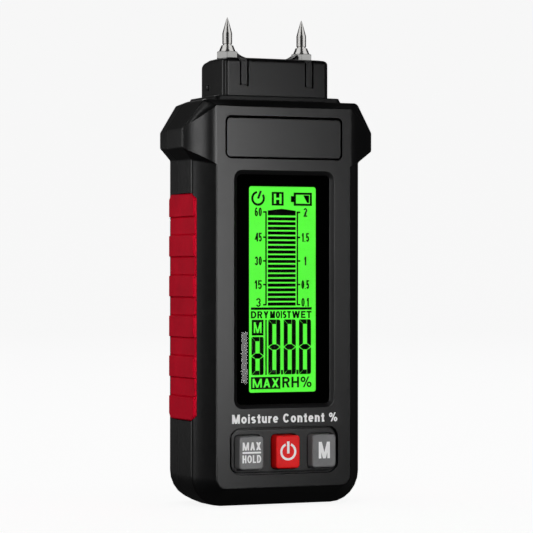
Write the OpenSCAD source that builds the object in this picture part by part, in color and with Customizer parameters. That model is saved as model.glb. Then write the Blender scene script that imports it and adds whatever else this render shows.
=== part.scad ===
// Handheld pin-type moisture meter, standing upright on its base.
// +Z runs up towards the electrodes, the display faces -Y, and the origin is the centre of the base.
// Depths are distances behind the flat front panel.

/* [Casing] */
// Width of the body across its straight sides
body_w = 61.3; // [60.5:0.1:62]
// Height of the casing to the top of its shoulders
body_h = 135.1; // [134:0.1:136]
// Depth from the front panel to the back
body_d = 30.2; // [30:0.1:32]
// Width across the shoulders
shoulder_w = 69.4; // [68:0.2:71]
// Width of the flat front panel
panel_w = 48.9; // [48:0.1:50]
// Height of the front panel's lower edge above the base
panel_z = 6.05; // [5:0.05:7]
// Depth of the sloping border around the panel
border_d = 7; // [6:0.5:8]
// Radius of the lower outer corners
corner_r = 10.5; // [9:0.5:12]
// Wall thickness of both casing halves
wall = 2.2; // [2:0.1:2.4]
// Depth of the joint between the two halves
split_d = 19.7; // [19:0.1:20.5]

/* [Display] */
// Width of the window opening
window_w = 35; // [34:0.5:36]
// Height of the window opening
window_h = 79.3; // [78:0.1:80]
// Height of the window's lower edge above the base
window_z = 32.5; // [32.4:0.1:33]
// Width of the lit display area
view_w = 24.4; // [23:0.2:26]
// Height of the lit display area
view_h = 68.6; // [66:0.2:70]

/* [Keypad] */
// Width of the keypad recess
keypad_w = 39.2; // [38:0.2:39.6]
// Height of the keypad recess
keypad_h = 15.4; // [15:0.1:16]
// Height of the recess's lower edge above the base
keypad_z = 10.7; // [10:0.1:11]
// Width of a button
button_w = 8.7; // [8:0.1:9]
// Height of a button
button_h = 11; // [10:0.1:11.4]
// Distance between neighbouring buttons
button_pitch = 13.2; // [12.8:0.1:13.4]
// How far the buttons stand in front of the panel
button_proud = 3.0; // [2.5:0.1:3.5]
// Travel of a button when it is pressed
button_travel = 0.5; // [0.3:0.1:0.6]

/* [Electrodes] */
// Distance between the two electrodes
pin_pitch = 27.4; // [27:0.1:28]
// Radius of the straight part of an electrode
pin_r = 1.65; // [1.5:0.05:1.8]
// Height of the electrode tips above the base
tip_z = 163.8; // [162:0.1:166]
// Width of the block that holds the electrodes
head_w = 38.6; // [38:0.1:39]
// Depth of that block
head_d = 21; // [20:0.5:21]
// Height of its top face above the base
head_z = 149.7; // [149:0.1:150]
// Width of a nut across its flats
nut_af = 6.8; // [6.6:0.1:7]

/* [Battery bay] */
// Radius of a AAA cell
cell_r = 5.25; // [5.1:0.05:5.25]
// Length of a AAA cell with its terminal
cell_l = 44.5; // [44:0.1:44.5]
// Distance between neighbouring cells
cell_pitch = 11.5; // [11:0.1:11.6]
// Opening angle of the battery door
door_angle = 80; // [60:1:85]

/* [Grips] */
// Height of a grip's lower end above the base
grip_z = 28.5; // [28:0.1:30]
// Length of a grip
grip_l = 75.5; // [74:0.1:76]
// How far a grip's raised pads stand out of the body side
grip_proud = 0.15; // [0.1:0.05:0.3]
// Step between the raised and the lowered pads
grip_step = 0.6; // [0.4:0.05:0.7]

/* [Hidden] */
$fn = 48;

// Casing
total_d = body_d + button_proud;
front_y = button_proud - total_d / 2;
side_x = body_w / 2;
panel_top = body_h - wall;
ear_x = shoulder_w / 2;
ear_z = 119.1;
back_wall = 2.4;
rear_edge_d = 28;
cavity_back = body_d - back_wall;
skin = 0.1;
gap = 0.3;

// Ledge and opening for the pin head
ledge_h = 1.5;
ledge_x = 23;
ledge_z = body_h + ledge_h;
head_mid = 16.8;
neck_x = 17;
neck_d = 18;

// Window stack, as depths
lens_d = 1;
lens_t = 0.8;
mask_t = 0.2;
lcd_d = lens_d + lens_t + mask_t + 0.1;
lcd_t = 2.2;
board_d = 11;
board_t = 1.6;
board_x = 20.5;
board_z = 8;
board_top = 126;
view_z = window_z + 5.3;
window_top = window_z + window_h;
frame_x = 18;

// Keypad, as depths
keypad_mid = keypad_z + 7.4;
surround_d = 0.5;
surround_t = 1.4;
floor_d = surround_d + surround_t;
floor_back = floor_d + 1.7;
flange_d = floor_back + 0.2;
flange_t = 1.0;
switch_t = 3.5;
plunger_d = board_d - switch_t - 1.2;
plunger_r = 1.6;

// Screws
case_x = 24;
case_z = [12, 121];
screw_seat_d = 23.8;
screw_head_h = 1.8;
board_screw_x = 17;
board_screw_z = [28.6, 118.5];

// Battery bay
bay_x = 1.5 * cell_pitch + 0.35;
bay_z = 31;
bay_h = cell_l + 6.1;
bay_top = bay_z + bay_h;
bay_front = 17;
cell_d = bay_front + cell_r + 0.3;
door_t = 2.2;
hinge_r = door_t / 2;
hinge_d = body_d - hinge_r;
hinge_z = bay_z - 2.8;
hinge_pin_r = 0.6;
door_x = bay_x + 1.1;
door_top = bay_top + 3.4;
contact_t = 0.4;
spring_h = 4.6;

// Grips
seat_x = side_x - 1.6;
grip_front = [5.9, 7.7];
grip_back = 27.6;
bevel_run = (side_x - panel_w / 2) / border_d;
end_pad = 7.85;
raised_pad = 7.4;
lowered_pad = 6.05;

// Row position of a depth behind the panel
function fy(d) = front_y + d;

// Extrudes an X-Z outline from one depth to another
module between(d0, d1) {
    translate([0, fy(d1), 0])
        rotate([90, 0, 0])
            linear_extrude(d1 - d0) children();
}

// X-Z rectangle with round corners, centred on X
module outline(w, z0, z1, r) {
    translate([-w / 2 + r, z0]) square([w - 2 * r, z1 - z0]);
    translate([-w / 2, z0 + r]) square([w, z1 - z0 - 2 * r]);
    for (s = [-1, 1], z = [z0 + r, z1 - r])
        translate([s * (w / 2 - r), z]) circle(r);
}

// Box centred on X, given by its width, depths and heights
module block(w, d0, d1, z0, z1, x = 0) {
    translate([x - w / 2, fy(d0), z0]) cube([w, d1 - d0, z1 - z0]);
}

// Cylinder along the depth at one X-Z place
module post(x, z, r, d0, d1) {
    translate([x, fy(d1), z]) rotate([90, 0, 0]) cylinder(r = r, h = d1 - d0);
}

// Thin round-cornered slab at one depth, the skeleton of a hull
module slab(d, x, z0, z1, r0, r1) {
    translate([0, fy(d) + skin, 0]) rotate([90, 0, 0])
        for (s = [-1, 1]) {
            translate([s * (x - r0), z0 + r0]) cylinder(r = r0, h = skin, $fn = 32);
            translate([s * (x - r1), z1 - r1]) cylinder(r = r1, h = skin, $fn = 32);
        }
}

// Outline of the shoulders seen from the front, drawn in by e
module shoulder_outline(e) {
    half = [[side_x - e / 2, 115.2], [ear_x - e, ear_z + e / 3], [ear_x - e, ear_z + 5.8 - e / 3],
            [ear_x - 1.25 - e, ear_z + 8.3 - e / 3], [side_x - e, body_h - 3.8 - e / 3],
            [side_x - 2.4 - e, body_h - 1.3 - e / 3], [side_x - 6.9 - e, body_h - e / 3]];
    polygon(concat(half, [for (i = [len(half) - 1 : -1 : 0]) [-half[i][0], half[i][1]]]));
}

// Outer form of the closed casing
module outer_form() {
    hull() {
        slab(0, panel_w / 2, panel_z, 126, 3.5, 1);
        slab(border_d, side_x, 0, 126, corner_r, 1);
        slab(split_d, side_x, 0, 126, corner_r, 1);
        slab(rear_edge_d, side_x - 0.4, 0.3, 126, corner_r - 0.3, 1);
        slab(body_d - skin, side_x - 2.4, 2.3, 126, corner_r - 2, 1);
    }
    hull() {
        slab(0, panel_w / 2, 113.4, panel_top, 0.5, 1.5);
        between(5, 18) shoulder_outline(0);
        between(rear_edge_d - skin, rear_edge_d) shoulder_outline(0.9);
        between(body_d - skin, body_d) shoulder_outline(3);
    }
    between(head_mid - 12.3, head_mid + 12.3) outline(2 * ledge_x, body_h - 4, ledge_z, 1.2);
}

// Hollow inside the casing
module cavity() {
    hull() {
        slab(wall, panel_w / 2 - wall, panel_z + wall, 130.5, 2, 2);
        slab(border_d + 2, side_x - wall, wall, 130.5, corner_r - wall, 3);
        slab(split_d, side_x - wall, wall, 130.5, corner_r - wall, 3);
        slab(cavity_back - skin, side_x - 5.6, 5.6, 128, corner_r - 5, 3);
    }
    block(2 * ledge_x - 6, head_mid - 10.4, head_mid + 10.4, 126, panel_top);
}

// Seats of both grips in the casing sides
module grip_seats() {
    for (i = [0, 1])
        block(4, grip_front[i] - 0.05, grip_back + 0.05, grip_z - 0.05, grip_z + grip_l + 0.05,
              (2 * i - 1) * (seat_x - 0.05 + 2));
}

// Opening for the pin head's neck
module neck_opening() {
    block(2 * neck_x + 0.2, head_mid - neck_d / 2 - 0.1, head_mid + neck_d / 2 + 0.1,
          panel_top - 1, ledge_z + 1);
}

module front_casing() {
    color([0.13, 0.13, 0.14])
    difference() {
        union() {
            difference() {
                intersection() {
                    outer_form();
                    block(100, -1, split_d, -1, 160);
                }
                cavity();
            }
            between(wall - 0.1, floor_back)
                outline(keypad_w + 2, keypad_z - 1, keypad_z + keypad_h + 1, 3.4);
            for (s = [-1, 1], z = case_z)
                post(s * case_x, z, 3.2, 4, split_d);
            for (s = [-1, 1], z = board_screw_z)
                post(s * board_screw_x, z, 2.4, 1.5, board_d);
        }
        grip_seats();
        neck_opening();
        between(-1, wall + 1) outline(window_w, window_z, window_top, 2.8);
        between(lens_d, wall + 1)
            outline(window_w + 3.2, window_z - 1.2, window_top + 1.5, 1);
        between(-1, 1.0) outline(42.4, 115.6, 129.4, 1.8);
        between(-1, floor_d) outline(keypad_w, keypad_z, keypad_z + keypad_h, 3.4);
        for (i = [-1 : 1])
            between(0, floor_back + 1)
                translate([i * button_pitch, 0])
                    outline(button_w + 0.6, keypad_mid - button_h / 2 - gap,
                            keypad_mid + button_h / 2 + gap, 1.4);
        for (s = [-1, 1], z = case_z)
            post(s * case_x, z, 1.25, 9, split_d + 1);
        for (s = [-1, 1], z = board_screw_z)
            post(s * board_screw_x, z, 1.0, 6, board_d + 1);
    }
}

module rear_casing() {
    color([0.07, 0.07, 0.08])
    difference() {
        union() {
            difference() {
                intersection() {
                    outer_form();
                    block(100, split_d, body_d + 1, -1, 160);
                }
                cavity();
            }
            block(2 * door_x + 3, bay_front - 1.6, cavity_back, bay_z - 5, bay_top + 5.2);
            for (s = [-1, 1], z = case_z)
                post(s * case_x, z, 4, split_d, cavity_back + 0.1);
        }
        grip_seats();
        neck_opening();
        block(2 * bay_x, bay_front, body_d, bay_z, bay_top);
        between(cavity_back, body_d + 1)
            outline(2 * door_x + 0.6, hinge_z - hinge_r - gap, door_top + gap, 2);
        block(2 * door_x + 0.6, cavity_back, body_d + 1, hinge_z - hinge_r - gap, hinge_z + 4);
        post(0, door_top + 1, 6, body_d - 1, body_d + 1);
        for (s = [-1, 1])
            translate([s * door_x, fy(hinge_d), hinge_z])
                rotate([0, 90, 0]) cylinder(r = hinge_pin_r + 0.1, h = 2.6, center = true);
        for (s = [-1, 1], z = case_z) {
            post(s * case_x, z, 1.5, split_d - 1, body_d);
            post(s * case_x, z, 2.8, screw_seat_d, body_d + 1);
        }
        for (s = [-1, 1])
            post(s * 8, bay_z + 1.2, 0.65, bay_front - 2, bay_front + 1);
    }
}

// Block that carries both electrodes, with its neck and clamping flange
module pin_head() {
    rib_x = 11.9;
    color([0.05, 0.05, 0.06])
    difference() {
        union() {
            between(head_mid - head_d / 2, head_mid + head_d / 2)
                outline(head_w, ledge_z, head_z, 0.8);
            block(2 * neck_x, head_mid - neck_d / 2, head_mid + neck_d / 2, panel_top - 1, ledge_z + 1);
            block(2 * neck_x + 4, head_mid - 10, head_mid + 10, panel_top - 2, panel_top);
            for (s = [-1, 1])
                translate([s * (head_w / 2 - 0.5), fy(head_mid + 3.2), ledge_z + 3.6]) sphere(1.2);
        }
        for (s = [-1, 1], edge = [-1.7, 1.35])
            block(0.35, 0, head_mid - head_d / 2 + 0.35, ledge_z + 3.2, head_z + 1,
                  s * rib_x + edge + 0.175);
        for (s = [-1, 1]) {
            translate([s * pin_pitch / 2, fy(head_mid), 0]) {
                translate([0, 0, panel_top - 3]) cylinder(r = 1.0, h = 9);
                translate([0, 0, 138]) cylinder(r = 3.02, h = 10);
                translate([0, 0, 147]) cylinder(r = 2.1, h = 4);
            }
        }
    }
}

module name_plate() {
    color([0.15, 0.15, 0.16]) between(0.1, 1.0) outline(41.5, 116.05, 128.95, 1.4);
}

module display_window() {
    color([0.55, 0.6, 0.6, 0.4])
        between(lens_d, lens_d + lens_t) outline(window_w + 3, window_z - 1.1, window_top + 1.4, 1);
}

// Opaque printed border behind the window
module window_mask() {
    color([0.02, 0.02, 0.02])
    difference() {
        between(lens_d + lens_t, lens_d + lens_t + mask_t)
            outline(window_w + 2.6, window_z - 0.9, window_top + 1.2, 1);
        between(0, 9) outline(view_w, view_z, view_z + view_h, 0.8);
    }
}

module lcd_panel() {
    color([0.3, 1.0, 0.3]) block(30, lcd_d, lcd_d + lcd_t, 34, 110);
}

// Moulded frame that holds the display and its light guide against the board
module lcd_frame() {
    color([0.9, 0.9, 0.88])
    difference() {
        block(2 * frame_x, lcd_d, board_d, window_z - 0.1, 112);
        block(30.4, lcd_d - 1, board_d + 1, 33.8, 110.2);
    }
}

module backlight() {
    color([0.6, 1.0, 0.6]) block(28, lcd_d + lcd_t + 0.1, board_d - 1.2, 38, 107.6);
}

module backlight_led() {
    color([0.95, 0.95, 0.7]) block(5, lcd_d + lcd_t + 0.2, board_d, 107.8, 109.6);
}

// Conductive rubber strip between the display glass and the board
module elastomer_strip() {
    color([0.85, 0.75, 0.7]) block(26, lcd_d + lcd_t, board_d, 34.6, 36.6);
}

module keypad_surround() {
    color([0.1, 0.1, 0.11])
    difference() {
        between(surround_d, floor_d)
            outline(keypad_w - 0.8, keypad_z + 0.4, keypad_z + keypad_h - 0.4, 3);
        for (i = [-1 : 1])
            between(0, 9)
                translate([i * button_pitch, 0])
                    outline(button_w + 0.6, keypad_mid - button_h / 2 - gap,
                            keypad_mid + button_h / 2 + gap, 1.4);
    }
}

// Key cap with the flange that keeps it in the casing and the stem that works its switch
module key_cap(x) {
    between(-button_proud, flange_d + 0.1)
        translate([x, 0])
            outline(button_w, keypad_mid - button_h / 2, keypad_mid + button_h / 2, 1.2);
    block(button_w + 1.8, flange_d, flange_d + flange_t, keypad_mid - button_h / 2 - 1,
          keypad_mid + button_h / 2 + 1, x);
    post(x, keypad_mid, 1.5, flange_d, plunger_d);
}

module max_hold_button() {
    color([0.42, 0.42, 0.43]) key_cap(-button_pitch);
}

module power_button() {
    color([0.85, 0.12, 0.12]) key_cap(0);
}

module mode_button() {
    color([0.42, 0.42, 0.43]) key_cap(button_pitch);
}

// Plunger of one push switch
module plunger(x) {
    color([0.1, 0.1, 0.1]) post(x, keypad_mid, plunger_r, plunger_d, plunger_d + 2.2);
}

module max_hold_plunger() {
    plunger(-button_pitch);
}

module power_plunger() {
    plunger(0);
}

module mode_plunger() {
    plunger(button_pitch);
}

// Body of one push switch
module switch_body(x) {
    color([0.2, 0.2, 0.2])
    difference() {
        block(6, board_d - switch_t, board_d, keypad_mid - 3, keypad_mid + 3, x);
        post(x, keypad_mid, plunger_r + 0.1, 0, board_d - 0.6);
    }
}

module max_hold_switch() {
    switch_body(-button_pitch);
}

module power_switch() {
    switch_body(0);
}

module mode_switch() {
    switch_body(button_pitch);
}

module main_board() {
    color([0.05, 0.35, 0.15])
    difference() {
        block(2 * board_x, board_d, board_d + board_t, board_z, board_top);
        for (s = [-1, 1], z = board_screw_z)
            post(s * board_screw_x, z, 1.1, board_d - 1, board_d + board_t + 1);
    }
}

module controller_chip() {
    color([0.08, 0.08, 0.08])
        block(10, board_d + board_t, board_d + board_t + 1.6, 94, 104, -10);
}

module buzzer() {
    color([0.1, 0.1, 0.1])
    difference() {
        post(9, 100, 6, board_d + board_t, board_d + board_t + 5);
        post(9, 100, 1, board_d + board_t + 2, board_d + board_t + 6);
    }
}

// Horizontal section of one grip pad that starts at depth d, lowered by drop
module grip_section(d, drop) {
    x = side_x + grip_proud - drop;
    front_x = min(panel_w / 2 + bevel_run * d, x - 0.1) - drop / 2;
    translate([0, front_y])
        polygon([[seat_x, d], [front_x, d], [x, max(border_d, d + 0.2) + drop / 2],
                 [x, split_d], [x - 0.35, grip_back - 0.5], [x - 0.6, grip_back],
                 [seat_x, grip_back]]);
}

// Right-hand grip that starts at depth d: pads that stand high and low in turn
module grip(d) {
    pitch = raised_pad + lowered_pad;
    translate([0, 0, grip_z]) {
        linear_extrude(grip_l) grip_section(d, grip_step);
        linear_extrude(end_pad) grip_section(d, 0);
        translate([0, 0, grip_l - end_pad]) linear_extrude(end_pad) grip_section(d, 0);
        for (i = [0 : 3])
            translate([0, 0, end_pad + lowered_pad + i * pitch])
                linear_extrude(raised_pad) grip_section(d, 0);
    }
}

module left_grip() {
    color([0.62, 0.06, 0.13]) mirror([1, 0, 0]) grip(grip_front[0]);
}

module right_grip() {
    color([0.62, 0.06, 0.13]) grip(grip_front[1]);
}

// Electrode: threaded stud, flared collar, straight shank and sharp point
module electrode(x) {
    color([0.75, 0.75, 0.77])
    translate([x, fy(head_mid), 0])
        rotate_extrude()
            polygon([[0, 140], [1.9, 140], [1.9, 152.2], [2.75, 152.2], [2.6, 152.8], [2.1, 153.8],
                     [2.0, 154.3], [1.45, 154.3], [1.45, 154.8], [pin_r, 154.8], [pin_r, 158.6],
                     [0.12, tip_z], [0, tip_z]]);
}

module left_electrode() {
    electrode(-pin_pitch / 2);
}

module right_electrode() {
    electrode(pin_pitch / 2);
}

// Hexagonal nut that locks an electrode
module nut(x) {
    color([0.7, 0.7, 0.72])
    translate([x, fy(head_mid), head_z])
    difference() {
        rotate(6) cylinder(r = nut_af / 2 / cos(30), h = 152.2 - head_z, $fn = 6);
        translate([0, 0, -1]) cylinder(r = 1.95, h = 5);
    }
}

module left_nut() {
    nut(-pin_pitch / 2);
}

module right_nut() {
    nut(pin_pitch / 2);
}

// Threaded brass insert moulded into the pin head
module insert(x) {
    color([0.8, 0.65, 0.3])
    translate([x, fy(head_mid), 138])
    difference() {
        cylinder(r = 3, h = 9.9);
        translate([0, 0, 1.5]) cylinder(r = 1.95, h = 10);
    }
}

module left_insert() {
    insert(-pin_pitch / 2);
}

module right_insert() {
    insert(pin_pitch / 2);
}

// Wires from the inserts down to the back of the board
module electrode_leads() {
    lead_z = 123.5;
    color([0.9, 0.9, 0.9])
    for (s = [-1, 1])
        translate([s * pin_pitch / 2, fy(head_mid), 0]) {
            translate([0, 0, lead_z]) cylinder(r = 0.6, h = 138 - lead_z);
            translate([0, 0, lead_z]) sphere(0.6);
            translate([0, 0, lead_z]) rotate([90, 0, 0])
                cylinder(r = 0.6, h = head_mid - board_d - board_t);
        }
}

// Battery door with its moulded hinge pins along the lower edge
module battery_door() {
    color([0.07, 0.07, 0.08]) {
        between(body_d - door_t, body_d) outline(2 * door_x, hinge_z + 2, door_top, 1.8);
        block(2 * door_x, body_d - door_t, body_d, hinge_z, hinge_z + 5);
        translate([0, fy(hinge_d), hinge_z]) rotate([0, 90, 0]) {
            cylinder(r = hinge_r, h = 2 * door_x, center = true);
            cylinder(r = hinge_pin_r, h = 2 * door_x + 2, center = true);
        }
    }
}

// AAA cell standing at X, turned over where flip is true
module cell(x, flip) {
    color([0.2, 0.22, 0.25])
    translate([x, fy(cell_d), bay_z + bay_h / 2])
        rotate([flip ? 180 : 0, 0, 0])
            translate([0, 0, -cell_l / 2 + (spring_h - 0.2) / 2]) {
                cylinder(r = cell_r, h = cell_l - 1.2);
                cylinder(r = 1.9, h = cell_l);
            }
}

module battery_1() {
    cell(-cell_pitch, false);
}

module battery_2() {
    cell(0, true);
}

module battery_3() {
    cell(cell_pitch, false);
}

// Places its children at the positive or the negative end of each cell
module cell_ends(positive) {
    for (i = [-1 : 1]) {
        up = (i == 0) != positive;
        translate([i * cell_pitch, fy(cell_d), up ? bay_top : bay_z])
            mirror([0, 0, up ? 1 : 0]) children();
    }
}

// Flat contact plates with a raised button
module positive_contacts() {
    color([0.8, 0.8, 0.78])
    cell_ends(true) {
        translate([-4, -4, 0]) cube([8, 8, contact_t]);
        cylinder(r = 1.6, h = 0.8);
    }
}

// Conical coil wire along a falling radius
module coil(turns, r0, r1, h, wire) {
    steps = 14 * turns;
    sides = 6;
    function ring(i) =
        let (t = i / steps, a = 360 * turns * t, r = r0 + (r1 - r0) * t, z = wire + (h - 2 * wire) * t)
        [for (j = [0 : sides - 1])
            let (b = 360 * j / sides)
            [(r + wire * cos(b)) * cos(a), (r + wire * cos(b)) * sin(a), z + wire * sin(b)]];
    points = [for (i = [0 : steps]) each ring(i)];
    sides_faces = [for (i = [0 : steps - 1], j = [0 : sides - 1])
        let (k = (j + 1) % sides, a = i * sides, b = a + sides)
        [a + k, b + k, b + j, a + j]];
    first = [[for (j = [sides - 1 : -1 : 0]) j]];
    last = [[for (j = [0 : sides - 1]) steps * sides + j]];
    polyhedron(points, concat(sides_faces, first, last));
}

// Plates with conical coil springs that press on the cells' flat ends
module negative_springs() {
    color([0.8, 0.8, 0.78])
    cell_ends(false) {
        translate([-4, -4, 0]) cube([8, 8, contact_t]);
        translate([0, 0, contact_t - 0.1]) coil(4, 3.4, 2, spring_h - contact_t, 0.3);
    }
}

// Wires from the battery contacts through the bay to the back of the board
module battery_leads() {
    color([0.7, 0.1, 0.1])
    for (s = [-1, 1])
        post(s * 8, bay_z + 1.2, 0.6, board_d + board_t, bay_front + 0.5);
}

// Screws that join the casing halves from the back
module case_screws() {
    color([0.25, 0.25, 0.26])
    for (s = [-1, 1], z = case_z)
        difference() {
            union() {
                post(s * case_x, z, 2.4, screw_seat_d, screw_seat_d + screw_head_h);
                post(s * case_x, z, 1.2, 11, screw_seat_d + 0.2);
            }
            block(3.4, screw_seat_d + 0.8, body_d, z - 0.3, z + 0.3, s * case_x);
            block(0.6, screw_seat_d + 0.8, body_d, z - 1.7, z + 1.7, s * case_x);
        }
}

// Screws that hold the board to the front casing
module board_screws() {
    color([0.75, 0.75, 0.76])
    for (s = [-1, 1], z = board_screw_z) {
        post(s * board_screw_x, z, 1.9, board_d + board_t, board_d + board_t + 1.2);
        post(s * board_screw_x, z, 0.95, 7, board_d + board_t + 0.1);
    }
}

front_casing();
rear_casing();
pin_head();
name_plate();
display_window();
window_mask();
lcd_panel();
lcd_frame();
backlight();
backlight_led();
elastomer_strip();
keypad_surround();
max_hold_button();
power_button();
mode_button();
max_hold_plunger();
power_plunger();
mode_plunger();
max_hold_switch();
power_switch();
mode_switch();
main_board();
controller_chip();
buzzer();
left_grip();
right_grip();
left_electrode();
right_electrode();
left_nut();
right_nut();
left_insert();
right_insert();
electrode_leads();
battery_door();
battery_1();
battery_2();
battery_3();
positive_contacts();
negative_springs();
battery_leads();
case_screws();
board_screws();
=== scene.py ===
import math

import bmesh
import bpy
import numpy as np
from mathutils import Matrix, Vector


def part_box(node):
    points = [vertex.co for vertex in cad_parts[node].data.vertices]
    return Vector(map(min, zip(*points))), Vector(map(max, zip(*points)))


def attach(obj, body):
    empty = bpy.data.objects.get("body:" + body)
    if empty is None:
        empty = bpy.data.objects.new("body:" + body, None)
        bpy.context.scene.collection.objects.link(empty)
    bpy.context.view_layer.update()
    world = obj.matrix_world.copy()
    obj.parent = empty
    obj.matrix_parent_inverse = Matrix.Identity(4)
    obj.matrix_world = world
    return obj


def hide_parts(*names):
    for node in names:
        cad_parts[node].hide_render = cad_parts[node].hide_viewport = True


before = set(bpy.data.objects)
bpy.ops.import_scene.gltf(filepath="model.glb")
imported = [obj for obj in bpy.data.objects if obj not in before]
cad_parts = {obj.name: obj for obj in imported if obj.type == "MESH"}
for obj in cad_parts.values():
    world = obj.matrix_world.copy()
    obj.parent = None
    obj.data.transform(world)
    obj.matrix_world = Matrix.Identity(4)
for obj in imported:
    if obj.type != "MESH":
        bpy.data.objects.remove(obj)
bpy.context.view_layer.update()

# ---------------------------------------------------------------- front casing
# The front half of the housing: one charcoal ABS moulding with a flat panel, a
# sloping border, shoulders that stand out of the sides and a ledge on top. All
# sizes are millimetres, and a depth is measured backwards from the flat panel.
MM = 0.001
panel_y = -13.6
split_depth = 19.7
body_corners = np.array([(30.65, 0.0), (30.65, 115.2), (34.7, 119.1), (34.7, 125.3), (28.0, 135.1)])
body_reach = np.array([10.5, 0.55, 0.45, 0.6, 1.1])
panel_corners = np.array([(24.45, 6.05), (24.45, 113.3), (24.45, 113.6), (24.45, 132.7), (24.35, 132.9)])
panel_reach = np.array([3.5, 0.05, 0.05, 0.05, 0.05])
border_depth = np.array([7.0, 7.0, 5.0, 5.0, 2.6])
shoulder_share = np.array([0.0, 0.0, 1.0, 1.0, 0.0])
charcoal = (0.003, 0.003, 0.0032)


def both_sides(half):
    """A right-hand half followed by its mirror image in reverse, which closes an outline that is the
    same on both sides."""
    half = np.asarray(half, float)
    mirror = half[::-1] * (np.array([-1.0, 1.0]) if half.ndim == 2 else 1.0)
    return np.concatenate([half, mirror])


def rounded_outline(corners, reach, samples=7, links=3):
    """Closed outlines of polygons with rounded corners, for any leading axes. Each corner is a true arc
    that starts and ends `reach` along its two sides: a rational curve whose middle weight is the sine
    of half the corner's angle. `links` even points then lead straight to the next corner."""
    p = np.asarray(corners, float)
    r = np.broadcast_to(np.asarray(reach, float), p.shape[:-1])[..., None]
    u, v = np.roll(p, 1, -2) - p, np.roll(p, -1, -2) - p
    u, v = u / np.linalg.norm(u, axis=-1, keepdims=True), v / np.linalg.norm(v, axis=-1, keepdims=True)
    weight = np.sqrt((1 - np.clip((u * v).sum(-1, keepdims=True), -1, 1)) / 2)[..., None, :]
    start, middle, end = (p + u * r)[..., None, :], p[..., None, :], (p + v * r)[..., None, :]
    t = np.linspace(0, 1, samples)[:, None]
    a, b, c = (1 - t) ** 2, 2 * t * (1 - t) * weight, t ** 2
    arc = (a * start + b * middle + c * end) / (a + b + c)
    step = (np.arange(links) + 1)[:, None] / (links + 1)
    link = arc[..., -1:, :] + (np.roll(arc[..., :1, :], -1, -3) - arc[..., -1:, :]) * step
    return np.concatenate([arc, link], -2).reshape(p.shape[:-2] + (-1, 2))


def along_outline(values, samples=7, links=3):
    """A value per corner, carried to every point of a rounded outline: held over the arc, then even
    steps to the next."""
    values = np.asarray(values, float)
    step = (np.arange(links) + 1) / (links + 1)
    held = np.repeat(values[:, None], samples, 1)
    return np.concatenate([held, values[:, None] + (np.roll(values, -1) - values)[:, None] * step], 1).ravel()


def inset_corners(corners, inset):
    """Corners of a polygon whose sides are moved inwards by `inset`: each corner moves along its
    bisector by inset / sine of half its angle. Corners run anticlockwise."""
    p = np.asarray(corners, float)
    u, v = np.roll(p, 1, 0) - p, np.roll(p, -1, 0) - p
    u, v = u / np.linalg.norm(u, axis=1, keepdims=True), v / np.linalg.norm(v, axis=1, keepdims=True)
    normal_in = np.stack([-v[:, 1], v[:, 0]], 1)
    normal_before = np.stack([u[:, 1], -u[:, 0]], 1)
    bisector = normal_in + normal_before
    scale = np.broadcast_to(inset, len(p))[:, None] * 2 / (bisector ** 2).sum(1, keepdims=True)
    return p + bisector * scale


def put_mesh(name, *shapes):
    """Mesh object from one or more closed shapes, each a pair of points and faces. Points are (x,
    depth, z) in millimetres, and y is the panel's plane plus the depth. In each shape doubled points
    are merged and the faces turned outwards."""
    mesh = bpy.data.meshes.new(name)
    whole = bmesh.new()
    for points, faces in shapes:
        xyz = np.asarray(points, float).reshape(-1, 3) * MM + np.array([0.0, panel_y * MM, 0.0])
        part = bmesh.new()
        mesh.clear_geometry()
        mesh.from_pydata(xyz.tolist(), [], faces)
        part.from_mesh(mesh)
        bmesh.ops.remove_doubles(part, verts=part.verts, dist=1e-7)
        bmesh.ops.dissolve_degenerate(part, edges=part.edges, dist=1e-8)
        bmesh.ops.recalc_face_normals(part, faces=part.faces)
        part.to_mesh(mesh)
        whole.from_mesh(mesh)
        part.free()
    whole.to_mesh(mesh)
    whole.free()
    piece = bpy.data.objects.new(name, mesh)
    bpy.context.scene.collection.objects.link(piece)
    return piece


def ring_faces(rows, around):
    """Faces of a grid that closes on itself around: one quad per cell, and one face over each end ring."""
    i = np.arange(rows - 1)[:, None] * around + np.arange(around)[None, :]
    j = np.arange(rows - 1)[:, None] * around + (np.arange(around)[None, :] + 1) % around
    quads = np.stack([i, j, j + around, i + around], -1).reshape(-1, 4)
    ends = [np.arange(around)[::-1].tolist(), (np.arange(around) + (rows - 1) * around).tolist()]
    return quads.tolist() + ends


def skin(name, rows):
    """Closed skin over rows of points, an array of rows x points x (x, depth, z)."""
    rows = np.asarray(rows, float)
    return put_mesh(name, (rows, ring_faces(rows.shape[0], rows.shape[1])))


def at_depth(outline, depth):
    """Front-view outline (x, z) set at a depth, which is one number or one per point."""
    return np.stack([outline[..., 0], np.broadcast_to(depth, outline.shape[:-1]), outline[..., 1]], -1)


def at_height(outline, height):
    """Plan-view outline (x, depth) set at a height, which is one number or one per point."""
    return np.stack([outline[..., 0], outline[..., 1], np.broadcast_to(height, outline.shape[:-1])], -1)


def rectangle(x0, x1, z0, z1, reach, grow=0.0):
    """Rounded rectangle, let out all round by `grow`."""
    corners = [(x1 + grow, z0 - grow), (x1 + grow, z1 + grow), (x0 - grow, z1 + grow), (x0 - grow, z0 - grow)]
    return rounded_outline(corners, max(reach + grow, 0.02))


def flared_cutter(name, x0, x1, z0, z1, reach, depth, rim):
    """Cutter for an opening in a face at depth 0: a rounded rectangle carried inwards, whose rim opens
    out in a quarter round of radius `rim`."""
    profile = [(rim, -1.0), (rim, -0.02), (0.62 * rim, 0.08 * rim), (0.29 * rim, 0.29 * rim), (0.08 * rim, 0.62 * rim),
               (0.0, rim), (0.0, depth)]
    return skin(name, [at_depth(rectangle(x0, x1, z0, z1, reach, g), d) for g, d in profile])


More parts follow.
